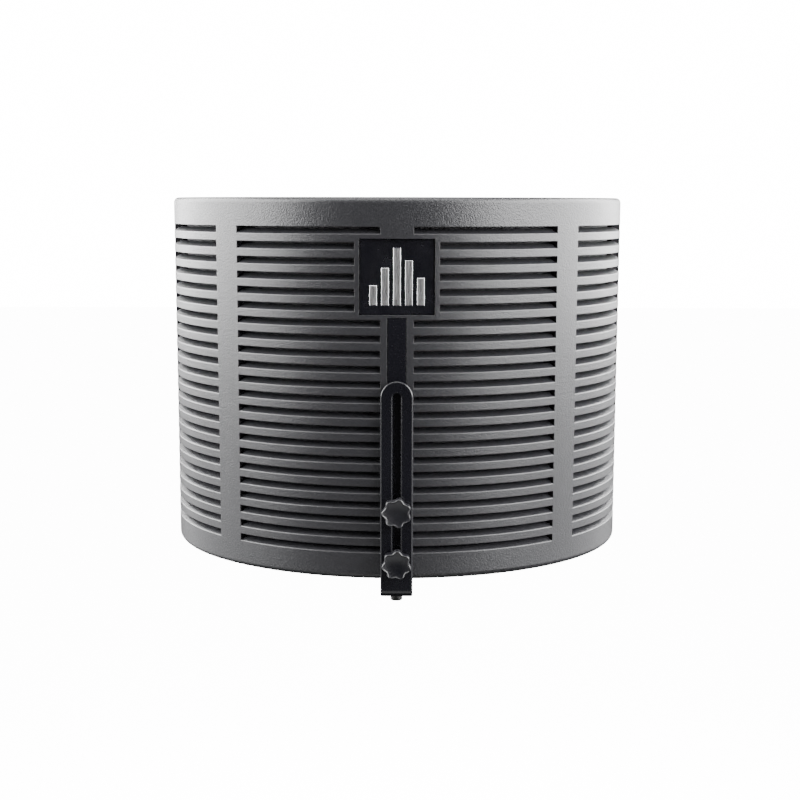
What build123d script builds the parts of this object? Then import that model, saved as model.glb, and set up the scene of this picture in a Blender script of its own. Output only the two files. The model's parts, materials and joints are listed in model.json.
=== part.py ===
from build123d import *
from build123d.topology import SkipClean
import os
from math import asin, cos, degrees, pi, radians, sin, sqrt

# Microphone isolation shield: a half-round louvred panel with absorbent layers, clamped by two
# knobs to a slotted arm. The arm bends under the panel and carries a bar with the microphone
# stand's socket and a sliding post for the microphone.
# Millimetres. The origin is the mouth of the stand socket. +Z is up, +Y points to the
# microphone's side and the convex side of the panel faces -Y.

# --- driving dimensions: panel ---
PANEL_RADIUS = 205.0
PANEL_HEIGHT = 312.0
PANEL_LIFT = 34.0
FRONT_Y = -95.0
WALL = 2.5
RIM_RADIUS = 4.5
FLANGE_INNER_RADIUS = 166.2
FLANGE_THICKNESS = 2.5

# --- driving dimensions: louvres ---
ROWS = 22
ROW_PITCH = 12.4
FIRST_SLOT_DROP = 23.5
SLOT_HEIGHT = 5.9
LOUVRE_DEPTH = 7.0
LOUVRE_RISE = 3.9
LOUVRE_THICKNESS = 2.0
LOUVRE_EDGE_RADIUS = 1.0
LOUVRE_LIP_RADIUS = 0.4
SILL_HEIGHT = 4.0
SPINE_HALF_WIDTH = 13.5
BAND_FROM = 40.5
BAND_TO = 47.9
SIDE_SLOT_END = 84.5
RIB_WIDTH = 2.0

# --- driving dimensions: badge and spine channel ---
BADGE_POCKET = 61.0
BADGE_DROP = 33.0
BADGE_BORDER = 3.8
BADGE_ROWS = range(2, 7)
POCKET_FLOOR_DEPTH = 5.5
POCKET_BACK_DEPTH = 8.5
BADGE_THICKNESS = 2.0
BADGE_GAP = 0.3
BAR_LEVELS = (16.0, 30.0, 46.0, 36.0, 22.0)
LEVEL_BAR_WIDTH = 6.0
LEVEL_BAR_PITCH = 9.6
LEVEL_BAR_THICKNESS = 1.2
LEVEL_BASE_MARGIN = 7.5
CHANNEL_WIDTH = 16.0
CHANNEL_DEPTH = 1.8
STRIP_THICKNESS = 1.4

# --- driving dimensions: layers inside the panel, as outer and inner radius ---
OUTER_WOOL = (193.5, 187.5)
FOIL = (187.3, 186.7)
RIBS = (186.5, 179.5)
INNER_WOOL = (179.3, 173.3)
FOAM_BACK = 173.1
FOAM_EDGE = 166.4
FOAM_FACE = 158.0
FOAM_SIDE_GAP = 0.4
FOAM_RAIL_GAP = 0.5
LAYER_MARGIN = 12.0
LAYER_END_GAP = 1.0
FOIL_HOLE_RADIUS = 6.0
FOIL_HOLE_RISE = 48.0
RIB_ANGLES = (-72.0, -36.0, 0.0, 36.0, 72.0)
RIB_BAR_WIDTH = 9.0

# --- driving dimensions: rails and posts ---
RAIL_RADII = (166.0, 163.0)
RAIL_HEIGHT = 16.0
RAIL_EDGE_RADIUS = 1.2
RAIL_SCREW_ANGLES = (-75.0, -50.0, -25.0, 0.0, 25.0, 50.0, 75.0)
RAIL_SCREW_DROP = 7.5
RAIL_BOSS_LENGTH = 12.0
RAIL_BOSS_SETBACK = 1.0
BOSS_WIDTH = 8.0
POST_THICKNESS = 4.0
POST_LIP = 14.0
POST_SCREW_INSET = 6.6
POST_SCREW_LEVELS = (0.06, 0.35, 0.65, 0.94)
END_BOSS_LENGTH = 13.0
SCREW_RADIUS = 1.5
SCREW_HEAD_RADIUS = 3.0
SCREW_HEAD_HEIGHT = 1.9
SCREW_RECESS_WIDTH = 1.0
SCREW_RECESS_LENGTH = 3.6
SCREW_RECESS_DEPTH = 1.0

# --- driving dimensions: slotted arm ---
ARM_WIDTH = 26.5
ARM_THICKNESS = 4.0
ARM_TOP_DROP = 146.8
ARM_EDGE = 1.4
ARM_GAP = 0.3
PAD_THICKNESS = 1.0
PAD_WIDTH = 22.0
PAD_BOTTOM_LIFT = 8.0
PAD_TOP_MARGIN = 4.0
ARM_SLOT_WIDTH = 6.4
ARM_SLOT_CHAMFER = 1.1
ARM_SLOT_TOP_DROP = 159.9
ARM_SLOT_BOTTOM_PLAY = 0.3
FOOT_DROP = 14.0
FOOT_LENGTH = 46.0
FOOT_BEND_RADIUS = 6.0
FOOT_CORNER = 4.0
FOOT_SCREW_SETBACKS = (21.5, 36.5)
FOOT_SCREW_RADIUS = 3.0
FOOT_SCREW_HEAD_RADIUS = 5.0
FOOT_SCREW_HEAD_HEIGHT = 6.0
FOOT_SCREW_SOCKET = 5.0
FOOT_SCREW_SOCKET_DEPTH = 3.0
FOOT_HOLE_CLEARANCE = 0.3
FOOT_WASHER_RADIUS = 6.2
FOOT_WASHER_THICKNESS = 1.0

# --- driving dimensions: clamping knobs ---
KNOB_DROPS = {"upper": 253.0, "lower": 296.0}
KNOB_PHASES = {"upper": 180.0, "lower": 86.0}
KNOB_RADIUS = 12.4
KNOB_LOBES = 7
KNOB_LOBE_DEPTH = 1.9
KNOB_HEAD = 9.0
KNOB_HUB_RADIUS = 8.0
KNOB_HUB_LENGTH = 2.5
KNOB_DISH_RADIUS = 38.0
KNOB_DISH_DEPTH = 1.0
KNOB_EDGE = 0.9
STUD_RADIUS = 3.0
STUD_IN_KNOB = 7.0
STUD_REACH = 8.0
INSERT_RADIUS = 4.2
INSERT_LENGTH = 9.0
INSERT_CLEARANCE = 0.05
INSERT_BOSS_RADIUS = 7.0
INSERT_BOSS_DEPTH = 11.0
STRIP_HOLE_RADIUS = 3.6
KNOB_WASHER_RADIUS = 6.5
KNOB_WASHER_THICKNESS = 1.2

# --- driving dimensions: bar, stand socket and microphone post ---
SOCKET_RADIUS = 12.0
SOCKET_HEIGHT = 24.0
SOCKET_BORE_RADIUS = 7.43
SOCKET_BORE_LENGTH = 18.0
SOCKET_NECK_RADIUS = 6.0
SOCKET_NECK_LENGTH = 15.5
SOCKET_WASHER_RADIUS = 12.0
SOCKET_WASHER_THICKNESS = 1.5
SOCKET_NUT_FLATS = 18.0
SOCKET_NUT_HEIGHT = 7.0
BAR_WIDTH = 26.0
BAR_THICKNESS = 5.0
BAR_START_GAP = 3.5
BAR_END_Y = 111.0
BAR_EDGE = 0.8
POST_Y = 65.0
POST_TRAVEL = 30.0
POST_SLOT_WIDTH = 10.6
THREAD_RADIUS = 7.94
POST_NECK_RADIUS = 5.0
POST_SHOULDER_FLATS = 22.0
POST_SHOULDER_HEIGHT = 6.0
POST_TOP_Z = 112.0
POST_THREAD_LENGTH = 16.0
POST_BODY_RADIUS = 7.0
POST_NECK_REACH = 16.0
POST_WASHER_RADIUS = 12.0
POST_WASHER_THICKNESS = 1.5
POST_NUT_RADIUS = 14.0
POST_NUT_LENGTH = 11.0
POST_NUT_LOBES = 9
POST_NUT_LOBE_DEPTH = 1.6
RUNNING_CLEARANCE = 0.05
BODY_GAP = 0.3

# --- worked out from the above ---
CENTRE_Y = FRONT_Y + PANEL_RADIUS
CENTRE = Pos(0, CENTRE_Y, 0)
BOTTOM_Z = PANEL_LIFT
TOP_Z = PANEL_LIFT + PANEL_HEIGHT
LOUVRE_TIP_RADIUS = PANEL_RADIUS - LOUVRE_DEPTH
PAD_BACK_Y = FRONT_Y - ARM_GAP
ARM_BACK_Y = PAD_BACK_Y - PAD_THICKNESS
ARM_FRONT_Y = ARM_BACK_Y - ARM_THICKNESS
FOOT_Z = BOTTOM_Z - FOOT_DROP
BAR_Z = FOOT_Z + ARM_THICKNESS
BAR_TOP_Z = BAR_Z + BAR_THICKNESS


def angle_at(half_width):
    """Angle from the front, in degrees, of a point this far from the middle plane."""
    return degrees(asin(half_width / PANEL_RADIUS))


def section(points):
    """Closed face of (radius, height) points, in the plane through the panel's axis."""
    return make_face(Plane.XZ * Polyline(*points, close=True))


def rectangle(outer, inner, low, high):
    """Rectangular section between two radii and two heights."""
    return section([(inner, low), (outer, low), (outer, high), (inner, high)])


def sweep_round(face, start, end):
    """Turn a section round the panel's axis, between two angles from the front."""
    return CENTRE * revolve(Rot(0, 0, start - 90) * face, Axis.Z, end - start)


def at_angle(angle, radius, z):
    """Place at a radius and angle, with local X pointing out from the panel's axis."""
    turn = radians(angle)
    return Location((radius * sin(turn), CENTRE_Y - radius * cos(turn), z), (0, 0, angle - 90))


def upright_slot(width, low, high, depth):
    """Round-ended slot that runs along Z and is cut along Y, centred on y = 0."""
    outline = Plane.XZ * Pos(0, (low + high) / 2) * Rot(0, 0, 90) * SlotCenterToCenter(high - low, width)
    return extrude(outline, depth / 2, both=True)


def row_top(row):
    """Height of the upper edge of a row's slots, counted from 1 at the top."""
    return TOP_Z - FIRST_SLOT_DROP - (row - 1) * ROW_PITCH


def pan_screw(length):
    """Pan-head screw along -Z with its head above z = 0 and a cross recess."""
    head = Pos(0, 0, SCREW_HEAD_HEIGHT / 2) * Cylinder(SCREW_HEAD_RADIUS, SCREW_HEAD_HEIGHT)
    head = fillet(head.edges().sort_by(Axis.Z)[-1], 1.0)
    shank = Pos(0, 0, -length / 2) * Cylinder(SCREW_RADIUS, length)
    screw = head + shank
    for turn in (0, 90):
        place = Location((0, 0, SCREW_HEAD_HEIGHT - SCREW_RECESS_DEPTH / 2), (0, 0, turn))
        screw -= place * Box(SCREW_RECESS_LENGTH, SCREW_RECESS_WIDTH, SCREW_RECESS_DEPTH)
    return screw


def slat_section(row):
    """Louvre below a row's slot: an upright face and a blade that rises inwards from its top."""
    top = row_top(row) - SLOT_HEIGHT
    low = row_top(row + 1) if row < ROWS else top - SILL_HEIGHT
    slope = LOUVRE_RISE / LOUVRE_DEPTH
    face_back = PANEL_RADIUS - LOUVRE_THICKNESS
    blade_drop = LOUVRE_THICKNESS * sqrt(1 + slope * slope)
    face = section(
        [
            (PANEL_RADIUS, low),
            (PANEL_RADIUS, top),
            (LOUVRE_TIP_RADIUS, top + LOUVRE_RISE),
            (LOUVRE_TIP_RADIUS, top + LOUVRE_RISE - blade_drop),
            (face_back, top + LOUVRE_THICKNESS * slope - blade_drop),
            (face_back, low),
        ]
    )
    corners = face.vertices().group_by(Axis.X)[-1].sort_by(Axis.Z)
    face = fillet(corners[-1], LOUVRE_EDGE_RADIUS)
    if row < ROWS:
        face = fillet(face.vertices().group_by(Axis.X)[-1].sort_by(Axis.Z)[0], LOUVRE_LIP_RADIUS)
    return face


def outer_shell():
    """Louvred moulding with flanges at the top and bottom, badge pocket, channel and bosses."""
    profile = section(
        [
            (FLANGE_INNER_RADIUS, BOTTOM_Z),
            (PANEL_RADIUS, BOTTOM_Z),
            (PANEL_RADIUS, TOP_Z),
            (FLANGE_INNER_RADIUS, TOP_Z),
            (FLANGE_INNER_RADIUS, TOP_Z - FLANGE_THICKNESS),
            (PANEL_RADIUS - WALL, TOP_Z - FLANGE_THICKNESS),
            (PANEL_RADIUS - WALL, BOTTOM_Z + FLANGE_THICKNESS),
            (FLANGE_INNER_RADIUS, BOTTOM_Z + FLANGE_THICKNESS),
        ]
    )
    profile = fillet(profile.vertices().group_by(Axis.X)[-2], RIM_RADIUS - WALL)
    profile = fillet(profile.vertices().group_by(Axis.X)[-1], RIM_RADIUS)
    frame = sweep_round(profile, 0, 90)

    spine = angle_at(SPINE_HALF_WIDTH)
    pocket_side = angle_at(BADGE_POCKET / 2 + BADGE_BORDER)
    rib = degrees(RIB_WIDTH / PANEL_RADIUS)
    window_top = row_top(1)
    window_bottom = row_top(ROWS) - SLOT_HEIGHT - SILL_HEIGHT
    rib_face = rectangle(
        PANEL_RADIUS - WALL / 2, LOUVRE_TIP_RADIUS, window_bottom - RIB_WIDTH, window_top + RIB_WIDTH
    )
    columns = ((spine, BAND_FROM), (BAND_TO, SIDE_SLOT_END))
    rib_spans = ((0, spine), (BAND_FROM, BAND_FROM + rib), (BAND_TO - rib, BAND_TO))
    rib_spans += ((SIDE_SLOT_END, SIDE_SLOT_END + rib),)
    ribs = [sweep_round(rib_face, start, end) for start, end in rib_spans]

    cut_face = rectangle(PANEL_RADIUS + 1, LOUVRE_TIP_RADIUS - 1, window_bottom, window_top)
    windows = [sweep_round(cut_face, start, end) for start, end in columns]
    first, last = BADGE_ROWS[0], BADGE_ROWS[-1]
    guard_low = row_top(last + 1)
    guard_high = row_top(first - 1) - SLOT_HEIGHT
    guard_face = section(
        [
            (LOUVRE_TIP_RADIUS, guard_low),
            (PANEL_RADIUS, guard_low),
            (PANEL_RADIUS, guard_high),
            (LOUVRE_TIP_RADIUS, guard_high + LOUVRE_RISE),
        ]
    )
    guard_face = fillet(guard_face.vertices().group_by(Axis.X)[-1].sort_by(Axis.Z)[-1], LOUVRE_EDGE_RADIUS)
    guards = [sweep_round(guard_face, spine, pocket_side)]

    slats = []
    for row in range(1, ROWS + 1):
        start = pocket_side if row in BADGE_ROWS or row == first - 1 else spine
        slats.append(sweep_round(slat_section(row), start, BAND_FROM))
        slats.append(sweep_round(slat_section(row), BAND_TO, SIDE_SLOT_END))

    with SkipClean():
        half = frame + ribs - windows + guards + slats
        shell = half + mirror(half, Plane.YZ)

    pocket_back = FRONT_Y + POCKET_BACK_DEPTH
    backing_width = BADGE_POCKET + 2 * BADGE_BORDER
    backing = Pos(0, pocket_back - 1.5, TOP_Z - BADGE_DROP - BADGE_POCKET / 2) * Box(
        backing_width, 3.0, BADGE_POCKET + BADGE_BORDER
    )
    with SkipClean():
        shell += backing
    pocket_floor = FRONT_Y + POCKET_FLOOR_DEPTH
    pocket = Pos(0, pocket_floor - 5.0, TOP_Z - BADGE_DROP - BADGE_POCKET / 2) * Box(
        BADGE_POCKET, 10.0, BADGE_POCKET
    )
    channel_top = TOP_Z - BADGE_DROP - BADGE_POCKET
    channel = Pos(0, FRONT_Y + CHANNEL_DEPTH - 5.0, (channel_top - 2.0 + BOTTOM_Z + RIM_RADIUS) / 2) * Box(
        CHANNEL_WIDTH, 10.0, channel_top - 2.0 - BOTTOM_Z - RIM_RADIUS
    )
    with SkipClean():
        shell -= [pocket, channel]

    bosses = []
    holes = []
    for drop in KNOB_DROPS.values():
        place = Pos(0, FRONT_Y + WALL + (INSERT_BOSS_DEPTH - WALL) / 2, TOP_Z - drop) * Rot(90, 0, 0)
        bosses.append(place * Cylinder(INSERT_BOSS_RADIUS, INSERT_BOSS_DEPTH - WALL))
        bore = Pos(0, FRONT_Y + CHANNEL_DEPTH + INSERT_LENGTH / 2 - 1.0, TOP_Z - drop) * Rot(90, 0, 0)
        holes.append(bore * Cylinder(INSERT_RADIUS, INSERT_LENGTH + 2.0))
    boss_centre = FLANGE_INNER_RADIUS + RAIL_BOSS_SETBACK + RAIL_BOSS_LENGTH / 2
    boss_height = RAIL_SCREW_DROP + 3.5 - FLANGE_THICKNESS
    for angle in RAIL_SCREW_ANGLES:
        for flange_z, side in ((TOP_Z, -1), (BOTTOM_Z, 1)):
            middle = flange_z + side * (FLANGE_THICKNESS + boss_height / 2)
            block = Box(RAIL_BOSS_LENGTH, BOSS_WIDTH, boss_height)
            bosses.append(at_angle(angle, boss_centre, middle) * block)
            hole = at_angle(angle, boss_centre, flange_z + side * RAIL_SCREW_DROP) * Rot(0, 90, 0)
            holes.append(hole * Cylinder(SCREW_RADIUS, RAIL_BOSS_LENGTH + 4.0))
    for side in (-1, 1):
        for level in POST_SCREW_LEVELS:
            x = side * (PANEL_RADIUS - POST_SCREW_INSET)
            z = BOTTOM_Z + level * PANEL_HEIGHT
            block = Pos(x, CENTRE_Y - END_BOSS_LENGTH / 2, z) * Box(BOSS_WIDTH, END_BOSS_LENGTH, BOSS_WIDTH)
            bosses.append(block)
            hole = Pos(x, CENTRE_Y - END_BOSS_LENGTH / 2, z) * Rot(90, 0, 0)
            holes.append(hole * Cylinder(SCREW_RADIUS, END_BOSS_LENGTH + 2.0))
    with SkipClean():
        shell = shell + bosses - holes
    return shell


def badge():
    """Square plate in the pocket, and the raised level bars on it."""
    size = BADGE_POCKET - 2 * BADGE_GAP
    floor_y = FRONT_Y + POCKET_FLOOR_DEPTH
    middle_z = TOP_Z - BADGE_DROP - BADGE_POCKET / 2
    plate = Pos(0, floor_y - BADGE_THICKNESS / 2, middle_z) * Box(size, BADGE_THICKNESS, size)
    plate = fillet(plate.faces().sort_by(Axis.Y)[0].edges(), 0.5)
    face_y = floor_y - BADGE_THICKNESS
    base_z = middle_z - size / 2 + LEVEL_BASE_MARGIN
    bars = []
    for index, level in enumerate(BAR_LEVELS):
        x = (index - (len(BAR_LEVELS) - 1) / 2) * LEVEL_BAR_PITCH
        block = Box(LEVEL_BAR_WIDTH, LEVEL_BAR_THICKNESS, level)
        block = chamfer(block.faces().sort_by(Axis.Y)[0].edges(), 0.35)
        bars.append(Pos(x, face_y - LEVEL_BAR_THICKNESS / 2, base_z + level / 2) * block)
    return plate, Compound(bars)


def spine_strip():
    """Flat strip in the channel, with clearance holes for the two studs."""
    top = TOP_Z - BADGE_DROP - BADGE_POCKET - 2.0 - BADGE_GAP
    low = BOTTOM_Z + RIM_RADIUS + BADGE_GAP
    back = FRONT_Y + CHANNEL_DEPTH
    strip = Pos(0, back - STRIP_THICKNESS / 2, (top + low) / 2) * Box(
        CHANNEL_WIDTH - 2 * BADGE_GAP, STRIP_THICKNESS, top - low
    )
    strip = fillet(strip.edges().filter_by(Axis.Z).group_by(Axis.Y)[0], 0.3)
    for drop in KNOB_DROPS.values():
        strip -= Pos(0, back, TOP_Z - drop) * Rot(90, 0, 0) * Cylinder(STRIP_HOLE_RADIUS, 10.0)
    return strip


def knob_inserts():
    """Two threaded brass bushes pressed into the spine's bosses."""
    inserts = []
    for drop in KNOB_DROPS.values():
        place = Pos(0, FRONT_Y + CHANNEL_DEPTH + INSERT_LENGTH / 2, TOP_Z - drop) * Rot(90, 0, 0)
        bore = Cylinder(STUD_RADIUS + INSERT_CLEARANCE, 2 * INSERT_LENGTH)
        inserts.append(place * (Cylinder(INSERT_RADIUS, INSERT_LENGTH) - bore))
    return Compound(inserts)


def layer(radii, margin=LAYER_MARGIN):
    """Absorbent or metal sheet that follows the panel between its end posts."""
    outer, inner = radii
    end = 90 - degrees(LAYER_END_GAP / inner)
    return sweep_round(rectangle(outer, inner, BOTTOM_Z + margin, TOP_Z - margin), -end, end)


def foil_sheet():
    """Thin metal sheet with rows of large holes through it."""
    sheet = layer(FOIL)
    middle = (FOIL[0] + FOIL[1]) / 2
    levels = [BOTTOM_Z + 36.0 + step * FOIL_HOLE_RISE for step in range(6)]
    holes = []
    for angle in range(-80, 81, 20):
        for z in levels:
            holes.append(at_angle(angle, middle, z) * Rot(0, 90, 0) * Cylinder(FOIL_HOLE_RADIUS, 6.0))
    return sheet - holes


def spacer_ribs():
    """Uprights that keep the air gap open between the foil and the inner wool."""
    width = degrees(RIB_BAR_WIDTH / RIBS[0]) / 2
    face = rectangle(RIBS[0], RIBS[1], BOTTOM_Z + LAYER_MARGIN, TOP_Z - LAYER_MARGIN)
    return Compound([sweep_round(face, angle - width, angle + width) for angle in RIB_ANGLES])


def inner_foam():
    """Foam face: its edges are held behind the rails and posts, its front stands between them."""
    back_end = 90 - degrees(LAYER_END_GAP / FOAM_EDGE)
    front_end = front_angle() - FOAM_SIDE_GAP
    edge = rectangle(FOAM_BACK, FOAM_EDGE, BOTTOM_Z + LAYER_MARGIN, TOP_Z - LAYER_MARGIN)
    rail_margin = RAIL_HEIGHT + FOAM_RAIL_GAP
    front = rectangle(FOAM_EDGE + 1.0, FOAM_FACE, BOTTOM_Z + rail_margin, TOP_Z - rail_margin)
    return sweep_round(edge, -back_end, back_end) + sweep_round(front, -front_end, front_end)


def front_angle():
    """Angle at which the rails and the foam's front meet the lips of the end posts."""
    return 90 - degrees(asin((POST_LIP + 0.2) / RAIL_RADII[1]))


def rail(high):
    """Curved strip along the flange's inner edge, which holds the foam's edge behind it."""
    low_z = TOP_Z - RAIL_HEIGHT if high else BOTTOM_Z
    face = rectangle(RAIL_RADII[0], RAIL_RADII[1], low_z, low_z + RAIL_HEIGHT)
    face = fillet(face.vertices().group_by(Axis.X)[0], RAIL_EDGE_RADIUS)
    strip = sweep_round(face, -front_angle(), front_angle())
    screw_z = TOP_Z - RAIL_SCREW_DROP if high else BOTTOM_Z + RAIL_SCREW_DROP
    holes = []
    for angle in RAIL_SCREW_ANGLES:
        place = at_angle(angle, RAIL_RADII[0], screw_z) * Rot(0, 90, 0)
        holes.append(place * Cylinder(SCREW_RADIUS, 12.0))
    return strip - holes


def rail_screws():
    """Pan-head screws through both rails into the flange's bosses."""
    screws = []
    for screw_z in (TOP_Z - RAIL_SCREW_DROP, BOTTOM_Z + RAIL_SCREW_DROP):
        for angle in RAIL_SCREW_ANGLES:
            place = at_angle(angle, RAIL_RADII[1] - 0.15, screw_z) * Rot(0, -90, 0)
            screws.append(place * pan_screw(10.0))
    return Compound(screws)


def end_post(side):
    """Upright that closes one end of the panel, with a lip over the foam's edge."""
    outer, inner = PANEL_RADIUS, RAIL_RADII[1]
    plate = Pos((outer + inner) / 2, CENTRE_Y + POST_THICKNESS / 2, (TOP_Z + BOTTOM_Z) / 2) * Box(
        outer - inner, POST_THICKNESS, PANEL_HEIGHT
    )
    corners = plate.edges().filter_by(Axis.Y).group_by(Axis.X)[-1]
    plate = fillet(corners, RIM_RADIUS)
    plate = fillet(plate.faces().sort_by(Axis.Y)[-1].edges(), 1.2)
    lip_outer = sqrt(RAIL_RADII[0] ** 2 - POST_LIP**2)
    lip_width = lip_outer - inner
    lip = Pos(inner + lip_width / 2, CENTRE_Y - POST_LIP / 2, (TOP_Z + BOTTOM_Z) / 2) * Box(
        lip_width, POST_LIP, PANEL_HEIGHT
    )
    post = plate + lip
    for level in POST_SCREW_LEVELS:
        place = Pos(outer - POST_SCREW_INSET, CENTRE_Y, BOTTOM_Z + level * PANEL_HEIGHT)
        post -= place * Rot(90, 0, 0) * Cylinder(SCREW_RADIUS, 4 * POST_THICKNESS)
    return mirror(post, Plane.YZ) if side < 0 else post


def post_screws():
    """Pan-head screws through both end posts into the shell's end bosses."""
    screws = []
    for side in (-1, 1):
        for level in POST_SCREW_LEVELS:
            place = Pos(
                side * (PANEL_RADIUS - POST_SCREW_INSET),
                CENTRE_Y + POST_THICKNESS,
                BOTTOM_Z + level * PANEL_HEIGHT,
            )
            screws.append(place * Rot(-90, 0, 0) * pan_screw(12.0))
    return Compound(screws)


def bracket_arm():
    """Slotted flat arm with a full-round top, bent at the bottom into a foot."""
    half = ARM_WIDTH / 2
    top_centre = TOP_Z - ARM_TOP_DROP - half
    foot_end = ARM_FRONT_Y + FOOT_LENGTH
    path = make_face(
        Plane.YZ
        * Polyline(
            (ARM_FRONT_Y, FOOT_Z),
            (foot_end, FOOT_Z),
            (foot_end, FOOT_Z + ARM_THICKNESS),
            (ARM_BACK_Y, FOOT_Z + ARM_THICKNESS),
            (ARM_BACK_Y, top_centre + half),
            (ARM_FRONT_Y, top_centre + half),
            close=True,
        )
    )
    corner = path.vertices().group_by(Axis.Z)[0].sort_by(Axis.Y)[0]
    path = fillet(corner, FOOT_BEND_RADIUS)
    inner = path.vertices().sort_by_distance(Vector(0, ARM_BACK_Y, FOOT_Z + ARM_THICKNESS))[0]
    path = fillet(inner, FOOT_BEND_RADIUS - ARM_THICKNESS)
    arm = extrude(path, half, both=True)
    straight = Pos(0, (top_centre + FOOT_Z) / 2) * Rectangle(ARM_WIDTH, top_centre - FOOT_Z)
    rounded = Plane.XZ * (Pos(0, top_centre) * Circle(half) + straight)
    arm = arm & (Pos(0, foot_end + 1, 0) * extrude(rounded, foot_end - ARM_FRONT_Y + 2))
    arm = fillet(arm.edges().filter_by(Axis.Z).group_by(Axis.Y)[-1], FOOT_CORNER)
    front_rim = arm.faces().filter_by(Plane.XZ).sort_by(Axis.Y)[0].edges().filter_by(GeomType.CIRCLE)
    arm = fillet(front_rim, ARM_EDGE)
    slot_low = TOP_Z - KNOB_DROPS["lower"] - ARM_SLOT_BOTTOM_PLAY
    slot_high = TOP_Z - ARM_SLOT_TOP_DROP
    middle_y = (ARM_FRONT_Y + ARM_BACK_Y) / 2
    arm -= Pos(0, middle_y, 0) * upright_slot(ARM_SLOT_WIDTH, slot_low, slot_high, 3 * ARM_THICKNESS)
    front_face = arm.faces().filter_by(Plane.XZ).sort_by(Axis.Y)[0]
    arm = chamfer(front_face.inner_wires()[0].edges(), ARM_SLOT_CHAMFER)
    for setback in FOOT_SCREW_SETBACKS:
        hole = Pos(0, ARM_FRONT_Y + setback, FOOT_Z)
        arm -= hole * Cylinder(FOOT_SCREW_RADIUS + FOOT_HOLE_CLEARANCE, 4 * ARM_THICKNESS)
    return arm


def arm_pad():
    """Thin rubber strip on the back of the arm, slotted as the arm is."""
    half = PAD_WIDTH / 2
    low = BOTTOM_Z + PAD_BOTTOM_LIFT
    high = TOP_Z - ARM_TOP_DROP - PAD_TOP_MARGIN - half
    straight = Pos(0, (low + high) / 2) * Rectangle(PAD_WIDTH, high - low)
    outline = Plane.XZ * (Pos(0, high) * Circle(half) + straight)
    pad = Pos(0, PAD_BACK_Y, 0) * extrude(outline, PAD_THICKNESS)
    slot_low = TOP_Z - KNOB_DROPS["lower"] - ARM_SLOT_BOTTOM_PLAY
    slot_high = TOP_Z - ARM_SLOT_TOP_DROP
    pad -= Pos(0, PAD_BACK_Y, 0) * upright_slot(ARM_SLOT_WIDTH, slot_low, slot_high, 4 * PAD_THICKNESS)
    return pad


def foot_fasteners():
    """Cap screws and washers that hold the bar on the arm's foot."""
    screws = []
    washers = []
    shank = ARM_THICKNESS + BAR_THICKNESS + FOOT_WASHER_THICKNESS
    for setback in FOOT_SCREW_SETBACKS:
        place = Pos(0, ARM_FRONT_Y + setback, FOOT_Z - FOOT_WASHER_THICKNESS)
        head = Cylinder(FOOT_SCREW_HEAD_RADIUS, FOOT_SCREW_HEAD_HEIGHT)
        head = Pos(0, 0, -FOOT_SCREW_HEAD_HEIGHT / 2) * head
        head = chamfer(head.edges().sort_by(Axis.Z)[0], 0.5)
        screw = head + Pos(0, 0, shank / 2) * Cylinder(FOOT_SCREW_RADIUS, shank)
        socket = RegularPolygon(FOOT_SCREW_SOCKET / 2, 6, major_radius=False)
        screw -= Pos(0, 0, -FOOT_SCREW_HEAD_HEIGHT) * extrude(socket, FOOT_SCREW_SOCKET_DEPTH)
        screws.append(place * screw)
        ring = Cylinder(FOOT_WASHER_RADIUS, FOOT_WASHER_THICKNESS) - Cylinder(FOOT_SCREW_RADIUS, 5.0)
        washers.append(place * Pos(0, 0, FOOT_WASHER_THICKNESS / 2) * ring)
    return Compound(screws), Compound(washers)


def lobed_outline(radius, depth, lobes, phase):
    """Closed wavy curve with round-pointed lobes, for a hand-turned knob."""
    points = []
    for step in range(8 * lobes):
        turn = 2 * pi * step / (8 * lobes)
        wave = cos(lobes * turn)
        reach = radius - depth / 2 + depth / 2 * wave
        points.append((reach * cos(turn + radians(phase)), reach * sin(turn + radians(phase))))
    return make_face(Spline(*points, periodic=True))


def knob(name):
    """Lobed clamping knob with a dished face, its threaded stud and a washer."""
    washer_back = ARM_FRONT_Y - BODY_GAP
    washer_front = washer_back - KNOB_WASHER_THICKNESS
    z = TOP_Z - KNOB_DROPS[name]
    place = Location((0, washer_front, z), (90, 0, 0))
    length = KNOB_HUB_LENGTH + KNOB_HEAD
    head = Pos(0, 0, KNOB_HUB_LENGTH) * extrude(
        lobed_outline(KNOB_RADIUS, KNOB_LOBE_DEPTH, KNOB_LOBES, KNOB_PHASES[name]), KNOB_HEAD
    )
    head = chamfer(head.faces().sort_by(Axis.Z)[-1].edges(), KNOB_EDGE)
    head = chamfer(head.faces().sort_by(Axis.Z)[0].edges(), KNOB_EDGE / 2)
    dish = Pos(0, 0, length - KNOB_DISH_DEPTH + KNOB_DISH_RADIUS) * Sphere(KNOB_DISH_RADIUS)
    hub = Pos(0, 0, KNOB_HUB_LENGTH / 2 + 0.5) * Cylinder(KNOB_HUB_RADIUS, KNOB_HUB_LENGTH + 1.0)
    head = head + hub - dish
    head -= Pos(0, 0, STUD_IN_KNOB / 2) * Cylinder(STUD_RADIUS, STUD_IN_KNOB)
    stud_end = FRONT_Y + CHANNEL_DEPTH + STUD_REACH
    stud_length = stud_end - washer_front + STUD_IN_KNOB
    stud = Pos(0, stud_end - stud_length / 2, z) * Rot(90, 0, 0) * Cylinder(STUD_RADIUS, stud_length)
    stud = chamfer(stud.edges().sort_by(Axis.Y)[-1], 0.6)
    ring = Cylinder(KNOB_WASHER_RADIUS, KNOB_WASHER_THICKNESS) - Cylinder(STUD_RADIUS, 5.0)
    washer = Pos(0, washer_back - KNOB_WASHER_THICKNESS / 2, z) * Rot(90, 0, 0) * ring
    return place * head, stud, washer


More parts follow.
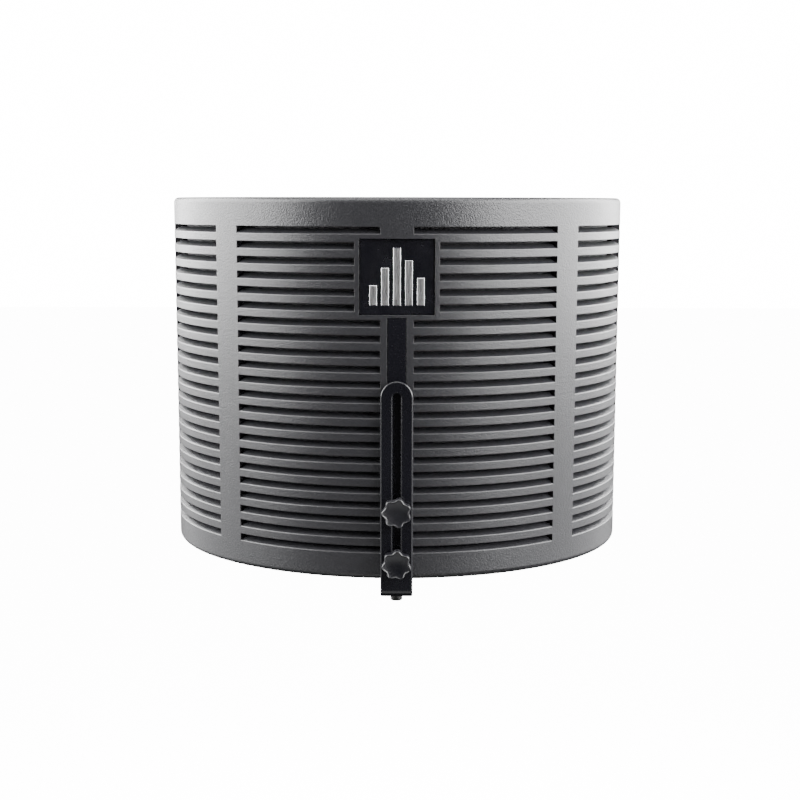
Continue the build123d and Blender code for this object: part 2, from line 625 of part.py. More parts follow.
def stand_bar():
    """Flat bar from the foot towards the microphone, with a slot for the microphone's post."""
    start = ARM_BACK_Y + BAR_START_GAP
    length = BAR_END_Y - start
    bar = Pos(0, start + length / 2, BAR_Z + BAR_THICKNESS / 2) * Box(BAR_WIDTH, length, BAR_THICKNESS)
    ends = bar.edges().filter_by(Axis.Z).group_by(Axis.Y)
    bar = fillet(ends[-1], BAR_WIDTH / 2 - 1.0)
    bar = chamfer(bar.faces().sort_by(Axis.Z)[-1].edges(), BAR_EDGE)
    slot = SlotCenterToCenter(2 * POST_TRAVEL + 1.0, POST_SLOT_WIDTH, rotation=90)
    bar -= Pos(0, POST_Y, BAR_Z - 1.0) * extrude(slot, BAR_THICKNESS + 2.0)
    bar -= Pos(0, 0, BAR_Z) * Cylinder(SOCKET_NECK_RADIUS, 4 * BAR_THICKNESS)
    for setback in FOOT_SCREW_SETBACKS:
        bar -= Pos(0, ARM_FRONT_Y + setback, BAR_Z) * Cylinder(FOOT_SCREW_RADIUS, 4 * BAR_THICKNESS)
    return bar


def stand_socket():
    """Threaded boss that screws onto a microphone stand, with a neck up through the bar."""
    body = Pos(0, 0, SOCKET_HEIGHT / 2) * Cylinder(SOCKET_RADIUS, SOCKET_HEIGHT)
    body = chamfer(body.edges().filter_by(GeomType.CIRCLE).sort_by(Axis.Z)[0], 1.0)
    for angle in (0, 180):
        flat = Location((0, 0, SOCKET_HEIGHT - 6.0), (0, 0, angle)) * Pos(SOCKET_RADIUS, 0, 0)
        body -= flat * Box(3.0, 2 * SOCKET_RADIUS, 7.0)
    neck = Cylinder(SOCKET_NECK_RADIUS, SOCKET_NECK_LENGTH)
    neck = Pos(0, 0, SOCKET_HEIGHT + SOCKET_NECK_LENGTH / 2) * neck
    body += chamfer(neck.edges().sort_by(Axis.Z)[-1], 0.8)
    body -= Pos(0, 0, SOCKET_BORE_LENGTH / 2) * Cylinder(SOCKET_BORE_RADIUS, SOCKET_BORE_LENGTH)
    return body


def socket_fasteners():
    """Washer and hexagon nut that hold the socket's neck on the bar."""
    ring = Cylinder(SOCKET_WASHER_RADIUS, SOCKET_WASHER_THICKNESS) - Cylinder(SOCKET_NECK_RADIUS, 5.0)
    washer = Pos(0, 0, BAR_TOP_Z + SOCKET_WASHER_THICKNESS / 2) * ring
    nut_z = BAR_TOP_Z + SOCKET_WASHER_THICKNESS
    hexagon = RegularPolygon(SOCKET_NUT_FLATS / 2, 6, major_radius=False)
    nut = Pos(0, 0, nut_z) * extrude(hexagon, SOCKET_NUT_HEIGHT)
    cone_radius = SOCKET_NUT_FLATS / 2 + SOCKET_NUT_HEIGHT
    crown = Pos(0, 0, nut_z + SOCKET_NUT_HEIGHT / 2) * Cone(
        cone_radius + 0.3, cone_radius - SOCKET_NUT_HEIGHT + 0.3, SOCKET_NUT_HEIGHT
    )
    nut = nut & crown
    nut -= Pos(0, 0, nut_z) * Cylinder(SOCKET_NECK_RADIUS, 4 * SOCKET_NUT_HEIGHT)
    return washer, nut


def mic_post():
    """Post with a hexagon shoulder on the bar, a neck down through its slot and a threaded top."""
    base = BAR_TOP_Z + BODY_GAP
    shoulder = Pos(0, 0, base) * extrude(
        RegularPolygon(POST_SHOULDER_FLATS / 2, 6, major_radius=False), POST_SHOULDER_HEIGHT
    )
    body_top = POST_TOP_Z - POST_THREAD_LENGTH
    body_base = base + POST_SHOULDER_HEIGHT
    body = Pos(0, 0, (body_top + body_base) / 2) * Cylinder(POST_BODY_RADIUS, body_top - body_base)
    thread = Pos(0, 0, body_top + POST_THREAD_LENGTH / 2) * Cylinder(THREAD_RADIUS, POST_THREAD_LENGTH)
    thread = chamfer(thread.edges().filter_by(GeomType.CIRCLE).sort_by(Axis.Z)[-1], 1.0)
    neck_low = BAR_Z - POST_NECK_REACH
    neck = Pos(0, 0, (neck_low + base) / 2) * Cylinder(POST_NECK_RADIUS, base - neck_low)
    neck = chamfer(neck.edges().sort_by(Axis.Z)[0], 0.8)
    return Pos(0, POST_Y, 0) * (shoulder + body + thread + neck)


def post_fasteners():
    """Washer and lobed hand nut that clamp the post from under the bar."""
    washer_top = BAR_Z - BODY_GAP
    ring = Cylinder(POST_WASHER_RADIUS, POST_WASHER_THICKNESS) - Cylinder(POST_NECK_RADIUS, 5.0)
    washer = Pos(0, POST_Y, washer_top - POST_WASHER_THICKNESS / 2) * ring
    nut_top = washer_top - POST_WASHER_THICKNESS - BODY_GAP
    outline = lobed_outline(POST_NUT_RADIUS, POST_NUT_LOBE_DEPTH, POST_NUT_LOBES, 0)
    nut = extrude(outline, POST_NUT_LENGTH)
    nut = chamfer(nut.faces().sort_by(Axis.Z)[0].edges(), 0.8)
    nut -= Cylinder(POST_NECK_RADIUS + RUNNING_CLEARANCE, 4 * POST_NUT_LENGTH)
    return washer, Pos(0, POST_Y, nut_top - POST_NUT_LENGTH) * nut


parts = {"outer_shell": outer_shell()}
parts["badge_plate"], parts["badge_level_bars"] = badge()
parts["spine_strip"] = spine_strip()
parts["knob_inserts"] = knob_inserts()
parts["outer_wool"] = layer(OUTER_WOOL)
parts["foil_sheet"] = foil_sheet()
parts["spacer_ribs"] = spacer_ribs()
parts["inner_wool"] = layer(INNER_WOOL)
parts["inner_foam"] = inner_foam()
parts["top_rail"] = rail(True)
parts["bottom_rail"] = rail(False)
parts["rail_screws"] = rail_screws()
parts["left_end_post"] = end_post(-1)
parts["right_end_post"] = end_post(1)
parts["post_screws"] = post_screws()
parts["bracket_arm"] = bracket_arm()
parts["arm_pad"] = arm_pad()
parts["foot_screws"], parts["foot_washers"] = foot_fasteners()
for name in KNOB_DROPS:
    parts[f"{name}_knob"], parts[f"{name}_knob_stud"], parts[f"{name}_knob_washer"] = knob(name)
parts["stand_bar"] = stand_bar()
parts["stand_socket"] = stand_socket()
parts["socket_washer"], parts["socket_nut"] = socket_fasteners()
parts["mic_post"] = mic_post()
parts["post_washer"], parts["post_nut"] = post_fasteners()

os.makedirs("parts", exist_ok=True)
for name, part in parts.items():
    export_step(part, f"parts/{name}.step")
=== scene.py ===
"""Looks of the microphone isolation shield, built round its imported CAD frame. Metres."""

import json
from math import cos, pi, radians, sin, sqrt

import bmesh
import bpy
from mathutils import Matrix, Vector, noise


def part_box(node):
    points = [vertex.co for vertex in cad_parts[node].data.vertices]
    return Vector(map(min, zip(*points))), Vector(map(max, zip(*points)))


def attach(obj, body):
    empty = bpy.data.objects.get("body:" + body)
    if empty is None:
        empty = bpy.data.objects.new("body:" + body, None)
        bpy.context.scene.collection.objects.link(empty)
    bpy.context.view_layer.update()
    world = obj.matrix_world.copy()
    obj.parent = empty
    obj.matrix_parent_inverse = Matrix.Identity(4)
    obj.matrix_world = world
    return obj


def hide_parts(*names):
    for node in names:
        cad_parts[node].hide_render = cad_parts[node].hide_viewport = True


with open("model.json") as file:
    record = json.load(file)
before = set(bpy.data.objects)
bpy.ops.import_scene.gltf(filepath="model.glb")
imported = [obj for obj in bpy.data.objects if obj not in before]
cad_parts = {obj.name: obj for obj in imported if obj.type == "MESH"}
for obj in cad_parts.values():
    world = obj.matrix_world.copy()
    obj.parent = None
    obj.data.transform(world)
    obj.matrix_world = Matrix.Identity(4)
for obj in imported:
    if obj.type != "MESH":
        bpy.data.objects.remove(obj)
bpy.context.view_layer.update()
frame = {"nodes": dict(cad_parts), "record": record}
nodes = frame["nodes"]

MM = 0.001
UM = 0.000001

# --- places read from the frame ---
SHELL_LOW, SHELL_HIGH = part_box("outer_shell")
RADIUS = (SHELL_HIGH.x - SHELL_LOW.x) / 2
AXIS_Y = SHELL_LOW.y + RADIUS


# ---------------------------------------------------------------- materials


class Shader:
    """A Principled material under construction, with short calls for its nodes."""

    def __init__(self, name, **values):
        self.material = bpy.data.materials.new(name)
        self.material.use_nodes = True
        self.tree = self.material.node_tree
        self.surface = self.tree.nodes["Principled BSDF"]
        for key, value in values.items():
            self.surface.inputs[key.replace("_", " ")].default_value = value
        self.place = self.add("ShaderNodeTexCoord").outputs["Object"]

    def add(self, kind, **settings):
        node = self.tree.nodes.new(kind)
        for key, value in settings.items():
            setattr(node, key, value)
        return node

    def link(self, source, target):
        self.tree.links.new(source, target)

    def stretched(self, scale):
        """Object position multiplied by a different factor along each axis."""
        mapping = self.add("ShaderNodeMapping")
        mapping.inputs["Scale"].default_value = scale
        self.link(self.place, mapping.inputs["Vector"])
        return mapping.outputs["Vector"]

    def noise(self, scale, detail=4.0, roughness=0.55, place=None):
        node = self.add("ShaderNodeTexNoise")
        node.inputs["Scale"].default_value = scale
        node.inputs["Detail"].default_value = detail
        node.inputs["Roughness"].default_value = roughness
        self.link(place or self.place, node.inputs["Vector"])
        return node.outputs["Fac"]

    def cells(self, scale):
        node = self.add("ShaderNodeTexVoronoi", feature="F1")
        node.inputs["Scale"].default_value = scale
        self.link(self.place, node.inputs["Vector"])
        return node.outputs["Distance"]

    def ramp(self, value, low, high, to_low, to_high):
        """Map a value's range low..high onto to_low..to_high."""
        node = self.add("ShaderNodeMapRange")
        node.inputs["From Min"].default_value = low
        node.inputs["From Max"].default_value = high
        node.inputs["To Min"].default_value = to_low
        node.inputs["To Max"].default_value = to_high
        self.link(value, node.inputs["Value"])
        return node.outputs["Result"]

    def colour(self, value, first, second, low=0.3, high=0.7):
        """Base colour that runs from first to second as value goes from low to high."""
        node = self.add("ShaderNodeValToRGB")
        node.color_ramp.elements[0].position = low
        node.color_ramp.elements[0].color = (*first, 1)
        node.color_ramp.elements[1].position = high
        node.color_ramp.elements[1].color = (*second, 1)
        self.link(value, node.inputs["Fac"])
        self.link(node.outputs["Color"], self.surface.inputs["Base Color"])

    def rough(self, value, low, high):
        """Roughness that runs from low to high with the middle of a noise value's range."""
        self.link(self.ramp(value, 0.3, 0.7, low, high), self.surface.inputs["Roughness"])

    def bump(self, *layers, edge=None):
        """Bump from (value, height in metres) layers, over edges rounded by a small radius."""
        normal = None
        if edge:
            rounding = self.add("ShaderNodeBevel", samples=6)
            rounding.inputs["Radius"].default_value = edge
            normal = rounding.outputs["Normal"]
        for value, height in layers:
            node = self.add("ShaderNodeBump")
            node.inputs["Strength"].default_value = 1.0
            node.inputs["Distance"].default_value = height
            self.link(value, node.inputs["Height"])
            if normal:
                self.link(normal, node.inputs["Normal"])
            normal = node.outputs["Normal"]
        self.link(normal, self.surface.inputs["Normal"])


def grained_plastic(name, dark, light, rough):
    """Moulded plastic with a fine spark-eroded grain and faint cloudy variation."""
    s = Shader(name, IOR=1.5)
    clouds = s.noise(9.0, 5.0)
    fine = s.noise(1500.0, 3.0, 0.6)
    coarse = s.noise(760.0, 2.0, 0.5)
    s.colour(clouds, dark, light)
    s.rough(coarse, rough - 0.05, rough + 0.07)
    s.bump((coarse, 270 * UM), (fine, 90 * UM), edge=0.5 * MM)
    return s.material


def powder_coat(name, dark, light, rough):
    """Black powder-coated steel with a slight orange peel."""
    s = Shader(name, IOR=1.5)
    peel = s.noise(420.0, 2.0, 0.5)
    fine = s.noise(2200.0, 2.0)
    s.colour(s.noise(14.0), dark, light)
    s.rough(peel, rough - 0.02, rough + 0.03)
    s.bump((peel, 12 * UM), (fine, 3 * UM), edge=0.6 * MM)
    return s.material


def satin_plastic(name, dark, light, rough):
    """Smooth satin plastic with faint handling marks."""
    s = Shader(name, IOR=1.5)
    marks = s.noise(60.0, 6.0, 0.65)
    fine = s.noise(1800.0, 2.0)
    s.colour(marks, dark, light)
    s.rough(marks, rough - 0.05, rough + 0.08)
    s.bump((fine, 20 * UM), (marks, 50 * UM))
    return s.material


def brushed_metal(name, dark, light, rough, stretch):
    """Metal with fine brush lines, which run along the axis with the smallest stretch."""
    s = Shader(name, Metallic=1.0)
    lines = s.noise(1.0, 4.0, 0.6, s.stretched(stretch))
    clouds = s.noise(40.0, 3.0)
    s.colour(lines, dark, light, 0.25, 0.75)
    s.rough(lines, rough - 0.08, rough + 0.1)
    s.bump((lines, 30 * UM), (clouds, 20 * UM))
    return s.material


def wool_felt(name):
    """Dense black felt with short fibres."""
    s = Shader(name, Roughness=0.95, Sheen_Weight=0.3, Sheen_Roughness=0.5)
    fibres = s.noise(900.0, 6.0, 0.75, s.stretched((1.0, 1.0, 0.35)))
    tufts = s.noise(160.0, 4.0)
    s.colour(fibres, (0.008, 0.008, 0.009), (0.035, 0.035, 0.037))
    s.bump((tufts, 600 * UM), (fibres, 300 * UM))
    return s.material


def open_foam(name):
    """Charcoal open-cell foam, with painted shade darkening the pores between lighter cell walls."""
    s = Shader(name, Roughness=0.92, Sheen_Weight=0.25, Sheen_Roughness=0.6)
    # pore cells, darkest at their middle: painted shade in the base colour, real depth in the bump
    pore_shade_and_depth = s.cells(1150.0)
    large = s.cells(560.0)
    clouds = s.noise(25.0, 4.0)
    # base colour: painted shade in the pores plus random cloudy tone
    pore_shade_and_tone = s.add("ShaderNodeMath", operation="MULTIPLY_ADD")
    s.link(pore_shade_and_depth, pore_shade_and_tone.inputs[0])
    pore_shade_and_tone.inputs[1].default_value = 0.7
    s.link(s.ramp(clouds, 0.0, 1.0, 0.0, 0.3), pore_shade_and_tone.inputs[2])
    s.colour(pore_shade_and_tone.outputs["Value"], (0.003, 0.003, 0.0035), (0.024, 0.024, 0.027), 0.1, 0.75)
    s.bump((large, 300 * UM), (pore_shade_and_depth, 300 * UM))
    return s.material


def matt_rubber(name):
    """Matt black rubber."""
    s = Shader(name)
    fine = s.noise(1300.0, 3.0)
    s.colour(s.noise(30.0), (0.012, 0.012, 0.012), (0.024, 0.024, 0.024))
    s.rough(fine, 0.7, 0.9)
    s.bump((fine, 50 * UM))
    return s.material


# the kind of material of each slot of the record, and its values
SLOT_LOOKS = {
    "shell_plastic": (grained_plastic, (0.0135, 0.0135, 0.0155), (0.0175, 0.0175, 0.0195), 0.34),
    "frame_plastic": (grained_plastic, (0.007, 0.007, 0.008), (0.01, 0.01, 0.012), 0.45),
    "badge_plastic": (satin_plastic, (0.003, 0.003, 0.0045), (0.005, 0.005, 0.007), 0.22),
    "knob_plastic": (satin_plastic, (0.003, 0.003, 0.0045), (0.005, 0.005, 0.007), 0.33),
    "black_steel": (powder_coat, (0.0025, 0.0025, 0.004), (0.004, 0.004, 0.006), 0.25),
    "black_screws": (brushed_metal, (0.03, 0.03, 0.03), (0.06, 0.06, 0.06), 0.4, (300, 300, 300)),
    "bright_aluminium": (brushed_metal, (0.6, 0.6, 0.61), (0.85, 0.85, 0.86), 0.32, (2600, 400, 60)),
    "zinc_steel": (brushed_metal, (0.42, 0.43, 0.45), (0.62, 0.63, 0.65), 0.3, (160, 160, 1500)),
    "brass": (brushed_metal, (0.6, 0.44, 0.2), (0.8, 0.62, 0.32), 0.3, (200, 1500, 200)),
    "foil": (brushed_metal, (0.6, 0.6, 0.61), (0.78, 0.78, 0.79), 0.35, (60, 60, 900)),
    "wool": (wool_felt,),
    "foam": (open_foam,),
    "pad_rubber": (matt_rubber,),
}


def make_materials():
    """One material for each slot of the record."""
    return {slot: look(slot, *values) for slot, (look, *values) in SLOT_LOOKS.items()}


def dress_nodes(materials):
    """Give every CAD node the material of its slot."""
    for part in frame["record"]["subparts"]:
        mesh = nodes[part["node"]].data
        mesh.materials.clear()
        mesh.materials.append(materials[part["material_slot"]])


# ---------------------------------------------------------------- mesh helpers


def new_piece(name, verts, faces, material, smooth=True):
    mesh = bpy.data.meshes.new(name)
    mesh.from_pydata([tuple(v) for v in verts], [], faces)
    mesh.update()
    piece = bpy.data.objects.new(name, mesh)
    bpy.context.scene.collection.objects.link(piece)
    mesh.materials.append(material)
    for polygon in mesh.polygons:
        polygon.use_smooth = smooth
    return piece


def ring_faces(count, around):
    """Quads between neighbouring closed rings of points, and one face across each end ring."""
    faces = []
    for ring in range(count - 1):
        here = ring * around
        above = here + around
        for step in range(around):
            beside = (step + 1) % around
            faces.append((here + step, here + beside, above + beside, above + step))
    last = (count - 1) * around
    return faces + [tuple(reversed(range(around))), tuple(range(last, last + around))]


def sharpen(piece, angle):
    """Keep edges steeper than this angle, in degrees, crisp under smooth shading."""
    mesh = piece.data
    work = bmesh.new()
    work.from_mesh(mesh)
    bmesh.ops.recalc_face_normals(work, faces=work.faces)
    for edge in work.edges:
        steep = len(edge.link_faces) == 2 and edge.calc_face_angle(0) > radians(angle)
        edge.smooth = not steep
    work.to_mesh(mesh)
    work.free()


# ---------------------------------------------------------------- foam face

FLUTES = 21
FLUTE_DEPTH = 6.0 * MM
COLUMNS_PER_FLUTE = 14
FOAM_BACK = RADIUS - 32.0 * MM
FOAM_EDGE = RADIUS - 38.8 * MM
FOAM_PEAK = RADIUS - 46.6 * MM
FOAM_END_ANGLE = 84.5
FOAM_TUCK = 4.5 * MM
FOAM_GAP = 0.6 * MM
FOAM_ROUND = 7.0 * MM
FOAM_ROUND_ROWS = 7
FOAM_ROW_STEP = 6.0 * MM
FOAM_UNEVEN = 0.35 * MM


def rounded_rise(distance, reach):
    """Rise of a rounded edge from 0 at the border to 1 where it has levelled out."""
    if distance >= reach:
        return 1.0
    return sqrt(max(0.0, 1 - (1 - distance / reach) ** 2))


def foam_heights(low, high):
    """Heights of the foam's rows, close together over the rounded top and bottom."""
    turns = [pi / 2 * step / FOAM_ROUND_ROWS for step in range(FOAM_ROUND_ROWS + 1)]
    ease = [FOAM_ROUND * (1 - cos(turn)) for turn in turns]
    span = high - low - 2 * FOAM_ROUND
    count = round(span / FOAM_ROW_STEP)
    middle = [low + FOAM_ROUND + span * step / count for step in range(1, count)]
    return [low + rise for rise in ease] + middle + [high - rise for rise in reversed(ease)]


def fluted_radius(angle, z, low, high):
    """Radius of the foam's face: upright flutes that round off at its four edges."""
    flute = abs(cos(pi * FLUTES * (angle / FOAM_END_ANGLE) / 2)) ** 0.75
    face = FOAM_PEAK + FLUTE_DEPTH * (1 - flute)
    side = radians(FOAM_END_ANGLE - abs(angle)) * FOAM_PEAK
    rise = rounded_rise(min(z - low, high - z), FOAM_ROUND) * rounded_rise(side, FOAM_ROUND)
    ripple = noise.noise(Vector((angle / 5, z * 28, 0.5)))
    ripple += 0.5 * noise.noise(Vector((angle, z * 110, 2.5)))
    return FOAM_EDGE - (FOAM_EDGE - face - FOAM_UNEVEN * (1 + ripple) / 2) * rise


def foam_face(material):
    """Fluted slab of foam between the rails, with its edge tucked behind them."""
    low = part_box("bottom_rail")[1].z + FOAM_GAP
    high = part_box("top_rail")[0].z - FOAM_GAP
    heights = foam_heights(low, high)
    columns = FLUTES * COLUMNS_PER_FLUTE
    verts = []
    for column in range(columns + 1):
        angle = FOAM_END_ANGLE * (2 * column / columns - 1)
        across = Vector((sin(radians(angle)), -cos(radians(angle)), 0))
        outline = [(FOAM_BACK, low - FOAM_TUCK), (FOAM_EDGE, low - FOAM_TUCK)]
        outline += [(fluted_radius(angle, z, low, high), z) for z in heights]
        outline += [(FOAM_EDGE, high + FOAM_TUCK), (FOAM_BACK, high + FOAM_TUCK)]
        verts += [Vector((0, AXIS_Y, z)) + across * radius for radius, z in outline]
    faces = ring_faces(columns + 1, len(outline))
    foam = new_piece("fluted_foam", verts, faces, material)
    sharpen(foam, 60)
    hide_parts("inner_foam")
    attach(foam, "shield")


# ---------------------------------------------------------------- turned and moulded pieces

THREAD_STEPS = 8
THREAD_FADE = 1.0 * MM
TURNED_STEPS = 72


def at_turn(value, turn):
    """A number, or what a call gives at this turn."""
    return value(turn) if callable(value) else value


def rings(rows, around, point):
    """Vertices of rings at point(height, radius, turn), for rows of height and radius."""
    verts = []
    for height, radius in rows:
        for step in range(around):
            turn = 2 * pi * step / around
            verts.append(point(at_turn(height, turn), at_turn(radius, turn), turn))
    return verts


def upright(x, y):
    """Places a ring's point about a vertical axis."""
    return lambda height, radius, turn: (x + radius * cos(turn), y + radius * sin(turn), height)


def thread_rows(low, high, crest, depth, pitch):
    """Rows along a screw thread that fades out at both ends."""

    def groove_at(z):
        full = min(1.0, min(abs(z - low), abs(high - z)) / THREAD_FADE)

        def radius(turn):
            phase = (z / pitch - turn / (2 * pi)) % 1
            return crest - depth * full * (1 - min(1.0, 1.3 * (1 - abs(2 * phase - 1))))

        return radius

    count = round(abs(high - low) / pitch * THREAD_STEPS)
    heights = [low + (high - low) * step / count for step in range(count + 1)]
    return [(z, groove_at(z)) for z in heights]


def hexagon(flats, limit):
    """Radius of a hexagon across its flats, cut to a largest radius at its corners."""

    def radius(turn):
        return min(limit, flats / 2 / cos((turn + pi / 6) % (pi / 3) - pi / 6))

    return radius


# the threads are crest radius, depth and pitch
POST_THREAD = (7.94 * MM, 0.55 * MM, 0.94 * MM)
POST_NECK = (5.0 * MM, 0.85 * MM, 1.5 * MM)
POST_BODY = 7.0 * MM
POST_THREAD_LENGTH = 16.0 * MM
POST_SHOULDER = 6.0 * MM
POST_HEXAGON = 22.0 * MM
POST_CHAMFER = 0.8 * MM


def microphone_post(material):
    """Turned post with a threaded neck, a hexagon shoulder and a threaded top."""
    low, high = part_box("mic_post")
    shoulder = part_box("stand_bar")[1].z + 0.3 * MM
    top = shoulder + POST_SHOULDER
    thread_low = high.z - POST_THREAD_LENGTH
    whole = hexagon(POST_HEXAGON, POST_HEXAGON / 2 / cos(pi / 6))
    cut = hexagon(POST_HEXAGON, POST_HEXAGON / 2)
    rows = [(low.z, 0.4 * MM), (low.z, POST_NECK[0] - 1.0 * MM)]
    rows += thread_rows(low.z + 0.9 * MM, shoulder - 2.0 * MM, *POST_NECK)
    rows += [(shoulder - 1.5 * MM, POST_NECK[0] - 0.3 * MM), (shoulder, POST_NECK[0] - 0.3 * MM)]
    rows += [(shoulder, cut), (shoulder + POST_CHAMFER, whole), (top - POST_CHAMFER, whole), (top, cut)]
    rows += [(top, POST_BODY + POST_CHAMFER), (top + POST_CHAMFER, POST_BODY)]
    rows += [(thread_low - 1.2 * MM, POST_BODY)]
    rows += [(thread_low - 0.6 * MM, POST_BODY - 0.5 * MM), (thread_low, POST_BODY - 0.5 * MM)]
    rows += thread_rows(thread_low, high.z - 0.9 * MM, *POST_THREAD)
    rows += [(high.z, POST_THREAD[0] - 1.1 * MM), (high.z, 2.4 * MM), (high.z - 1.2 * MM, 0.3 * MM)]
    verts = rings(rows, TURNED_STEPS, upright((low.x + high.x) / 2, (low.y + high.y) / 2))
    post = new_piece("threaded_post", verts, ring_faces(len(rows), TURNED_STEPS), material)
    sharpen(post, 28)
    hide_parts("mic_post")
    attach(post, "mic_post")


SOCKET_BORE = (7.43 * MM, -0.5 * MM, 0.94 * MM)
SOCKET_BORE_DEPTH = 18.0 * MM
SOCKET_FLAT = 10.5 * MM
SOCKET_FLAT_RANGE = (14.5 * MM, 21.5 * MM)
SOCKET_NECK = (5.9 * MM, 0.8 * MM, 1.25 * MM)


def socket_side(radius):
    """Radius of the socket's body where two opposite spanner flats are cut."""
    return lambda turn: min(radius, SOCKET_FLAT / max(abs(cos(turn)), 1e-6))


def threaded_socket(material):
    """Stand socket with a threaded bore, two spanner flats and a threaded neck."""
    low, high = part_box("stand_socket")
    radius = (high.x - low.x) / 2
    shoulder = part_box("stand_bar")[0].z
    flat_low, flat_high = SOCKET_FLAT_RANGE
    rows = [(SOCKET_BORE_DEPTH, 0.4 * MM), (SOCKET_BORE_DEPTH, SOCKET_BORE[0])]
    rows += thread_rows(SOCKET_BORE_DEPTH - 0.4 * MM, low.z + 1.0 * MM, *SOCKET_BORE)
    rows += [(low.z, SOCKET_BORE[0] + 0.9 * MM), (low.z, radius - 1.2 * MM), (low.z + 1.0 * MM, radius)]
    rows += [(flat_low, radius), (flat_low, socket_side(radius))]
    rows += [(flat_high, socket_side(radius)), (flat_high, radius)]
    rows += [(shoulder - 0.6 * MM, radius), (shoulder, radius - 0.6 * MM), (shoulder, SOCKET_NECK[0])]
    rows += thread_rows(shoulder + 0.3 * MM, high.z - 0.9 * MM, *SOCKET_NECK)
    rows += [(high.z, SOCKET_NECK[0] - 1.0 * MM), (high.z, 0.4 * MM)]
    verts = rings(rows, TURNED_STEPS, upright(0, 0))
    socket = new_piece("threaded_socket", verts, ring_faces(len(rows), TURNED_STEPS), material)
    sharpen(socket, 28)
    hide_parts("stand_socket")
    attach(socket, "stand_arm")


KNOB_LOBES = 7
KNOB_STEPS = KNOB_LOBES * 20
KNOB_DISH_ROWS = 14
KNOB_LOBE_DEPTH = 1.9 * MM
KNOB_HUB = 7.9 * MM
KNOB_REACH = 12.4 * MM
KNOB_RIM = 1.35 * MM
KNOB_DISH = 2.0 * MM
KNOB_PHASES = {"upper_knob": 180.0, "lower_knob": 86.0}


def lobed(reach, inset, share=1.0):
    """Radius of a lobed outline, set in from its edge and then scaled down to a share."""

    def radius(turn):
        wave = KNOB_LOBE_DEPTH / 2 * (1 - cos(KNOB_LOBES * turn))
        return (reach - inset - wave) * share

    return radius


def knob_rows(reach, length):
    """Rows of a knob from its hub, round the lobed head and down into the dished face."""

    def dished(share):
        outline = lobed(reach, KNOB_RIM, share)

        def height(turn):
            return length - KNOB_DISH * (1.12 - (outline(turn) / (reach - KNOB_RIM)) ** 2)

        return (height, outline)

    rows = [(0.0, 3.1 * MM), (0.0, KNOB_HUB - 0.3 * MM), (0.3 * MM, KNOB_HUB), (2.4 * MM, KNOB_HUB)]
    rows += [(2.5 * MM, lobed(reach, 1.6 * MM)), (2.7 * MM, lobed(reach, 0.7 * MM))]
    rows += [(3.2 * MM, lobed(reach, 0.2 * MM)), (4.0 * MM, lobed(reach, 0.0))]
    rows += [(length - 1.5 * MM, lobed(reach, 0.0)), (length - 0.8 * MM, lobed(reach, 0.12 * MM))]
    rows += [(length - 0.3 * MM, lobed(reach, 0.42 * MM)), (length, lobed(reach, 0.8 * MM))]
    rows += [dished(1 - step / KNOB_DISH_ROWS) for step in range(KNOB_DISH_ROWS)]
    return rows


def clamp_knob(node, material):
    """Moulded hand knob with a rounded, lobed rim round a dished face."""
    low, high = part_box(node)
    stud_low, stud_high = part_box(node + "_stud")
    centre_z = (stud_low.z + stud_high.z) / 2
    phase = radians(KNOB_PHASES[node])

    def place(height, radius, turn):
        return (radius * cos(turn + phase), high.y - height, centre_z + radius * sin(turn + phase))

    rows = knob_rows(KNOB_REACH, high.y - low.y)
    verts = rings(rows, KNOB_STEPS, place)
    piece = new_piece(node + "_grip", verts, ring_faces(len(rows), KNOB_STEPS), material)
    sharpen(piece, 50)
    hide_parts(node)
    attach(piece, node)


def make_pieces(materials):
    foam_face(materials["foam"])
    microphone_post(materials["zinc_steel"])
    threaded_socket(materials["black_steel"])
    for node in KNOB_PHASES:
        clamp_knob(node, materials["knob_plastic"])


# ---------------------------------------------------------------- stage


CAMERA_DISTANCE = 1.2173
CAMERA_BELOW_TOP = 0.0054
CAMERA_SIDE = 0.0012
CAMERA_PITCH = 8.97
CAMERA_ROLL = 0.11
CAMERA_LENS = 68.15
CAMERA_SHIFT = (0.0023, 0.0535)


def make_camera():
    """Camera level with the panel's top edge, looking slightly down at the louvred side."""
    data = bpy.data.cameras.new("camera")
    data.sensor_width = 36.0
    data.lens = CAMERA_LENS
    data.shift_x, data.shift_y = CAMERA_SHIFT
    data.clip_start, data.clip_end = 0.05, 60.0
    camera = bpy.data.objects.new("camera", data)
    bpy.context.scene.collection.objects.link(camera)
    camera.location = (CAMERA_SIDE, SHELL_LOW.y - CAMERA_DISTANCE, SHELL_HIGH.z - CAMERA_BELOW_TOP)
    tilt = Matrix.Rotation(radians(90 - CAMERA_PITCH), 4, "X")
    roll = Matrix.Rotation(radians(CAMERA_ROLL), 4, "Z")
    camera.rotation_euler = (tilt @ roll).to_euler()
    bpy.context.scene.camera = camera


def area_light(name, place, target, size, power):
    """Rectangular soft box that the camera does not see, of size metres and power watts."""
    data = bpy.data.lights.new(name, "AREA")
    data.shape = "RECTANGLE"
    data.size, data.size_y = size
    data.energy = power
    light = bpy.data.objects.new(name, data)
    bpy.context.scene.collection.objects.link(light)
    light.location = place
    aim = Vector(target) - Vector(place)
    light.rotation_euler = aim.to_track_quat("-Z", "Y").to_euler()
    light.visible_camera = False


FLOOR_Z = -1.1
FLOOR_SIZE = 40.0
FLOOR_GLOW = 14.0


def make_floor():
    """Plain pale floor, as far below the shield as the foot of a microphone stand."""
    half = FLOOR_SIZE / 2
    corners = [(-half, -half), (half, -half), (half, half), (-half, half)]
    verts = [(x, y, FLOOR_Z) for x, y in corners]
    s = Shader("pale_floor", Roughness=0.9)
    grain = s.noise(40.0, 5.0)
    s.colour(grain, (0.86, 0.86, 0.86), (0.9, 0.9, 0.9))
    s.surface.inputs["Emission Color"].default_value = (1, 1, 1, 1)
    s.surface.inputs["Emission Strength"].default_value = FLOOR_GLOW
    floor_piece = new_piece("floor", verts, [(0, 1, 2, 3)], s.material, smooth=False)
    floor_piece.visible_glossy = False
    floor_piece.visible_diffuse = False


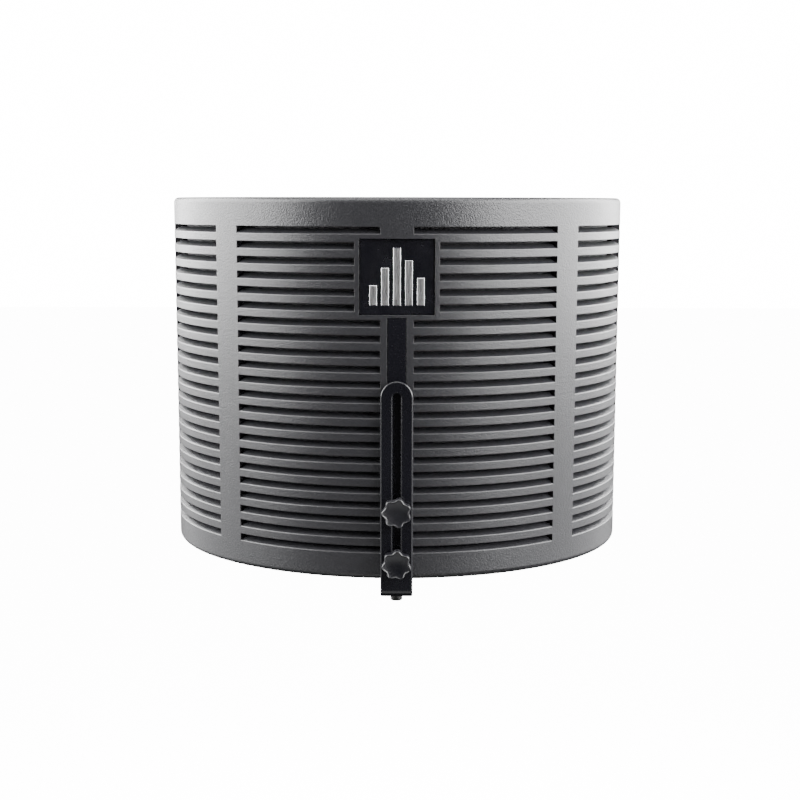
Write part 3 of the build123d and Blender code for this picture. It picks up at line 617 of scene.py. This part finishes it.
SIDE_X = 1.15
SIDE_BACK_Y = 1.7
LEFT_FRONT_Y = -0.75
RIGHT_FRONT_Y = -1.45
# lower edge, upper edge and watts per square metre of the boxes at both sides
SIDE_ROWS = ((0.2, 1.5, 56), (-0.55, 0.2, 7))
# place, target, size and watts of the other soft boxes
SOFT_BOXES = {
    "back_box": ((0, 2.4, 1.0), (0, 0, 0.3), (4.0, 2.4), 36),
    "top_box": ((0, -0.3, 1.7), (0, 0.05, 0.3), (1.8, 0.9), 36),
    "high_front_box": ((0, -1.5, 1.45), (0, -0.09, 0.2), (1.6, 0.7), 5),
    "low_fill": ((0, -1.0, -0.75), (0, -0.09, 0.05), (1.8, 0.7), 5),
}
# strength of the white world as a light, and as the camera sees it
SURROUND_LIGHT = 0.05
SURROUND_SEEN = 16.0


def side_box(name, x, front_y, low, high, watts):
    """Long soft box beside the shield, with its power per square metre."""
    length = SIDE_BACK_Y - front_y
    y = front_y + length / 2
    z = (low + high) / 2
    area_light(name, (x, y, z), (0, y, z), (length, high - low), watts * length * (high - low))


def make_lights():
    """Soft boxes at both sides, overhead, behind and low in front."""
    for row in SIDE_ROWS:
        side_box("left_box", -SIDE_X, LEFT_FRONT_Y, *row)
        side_box("right_box", SIDE_X, RIGHT_FRONT_Y, *row)
    for name, box in SOFT_BOXES.items():
        area_light(name, *box)


def make_surround():
    """White world that gives little light itself."""
    world = bpy.data.worlds.new("surround")
    bpy.context.scene.world = world
    world.use_nodes = True
    tree = world.node_tree
    background = tree.nodes["Background"]
    background.inputs["Color"].default_value = (1, 1, 1, 1)
    seen = tree.nodes.new("ShaderNodeLightPath")
    strength = tree.nodes.new("ShaderNodeMapRange")
    strength.inputs["To Min"].default_value = SURROUND_LIGHT
    strength.inputs["To Max"].default_value = SURROUND_SEEN
    tree.links.new(seen.outputs["Is Camera Ray"], strength.inputs["Value"])
    tree.links.new(strength.outputs["Result"], background.inputs["Strength"])


materials = make_materials()
dress_nodes(materials)
make_pieces(materials)
make_camera()
make_lights()
make_surround()
make_floor()
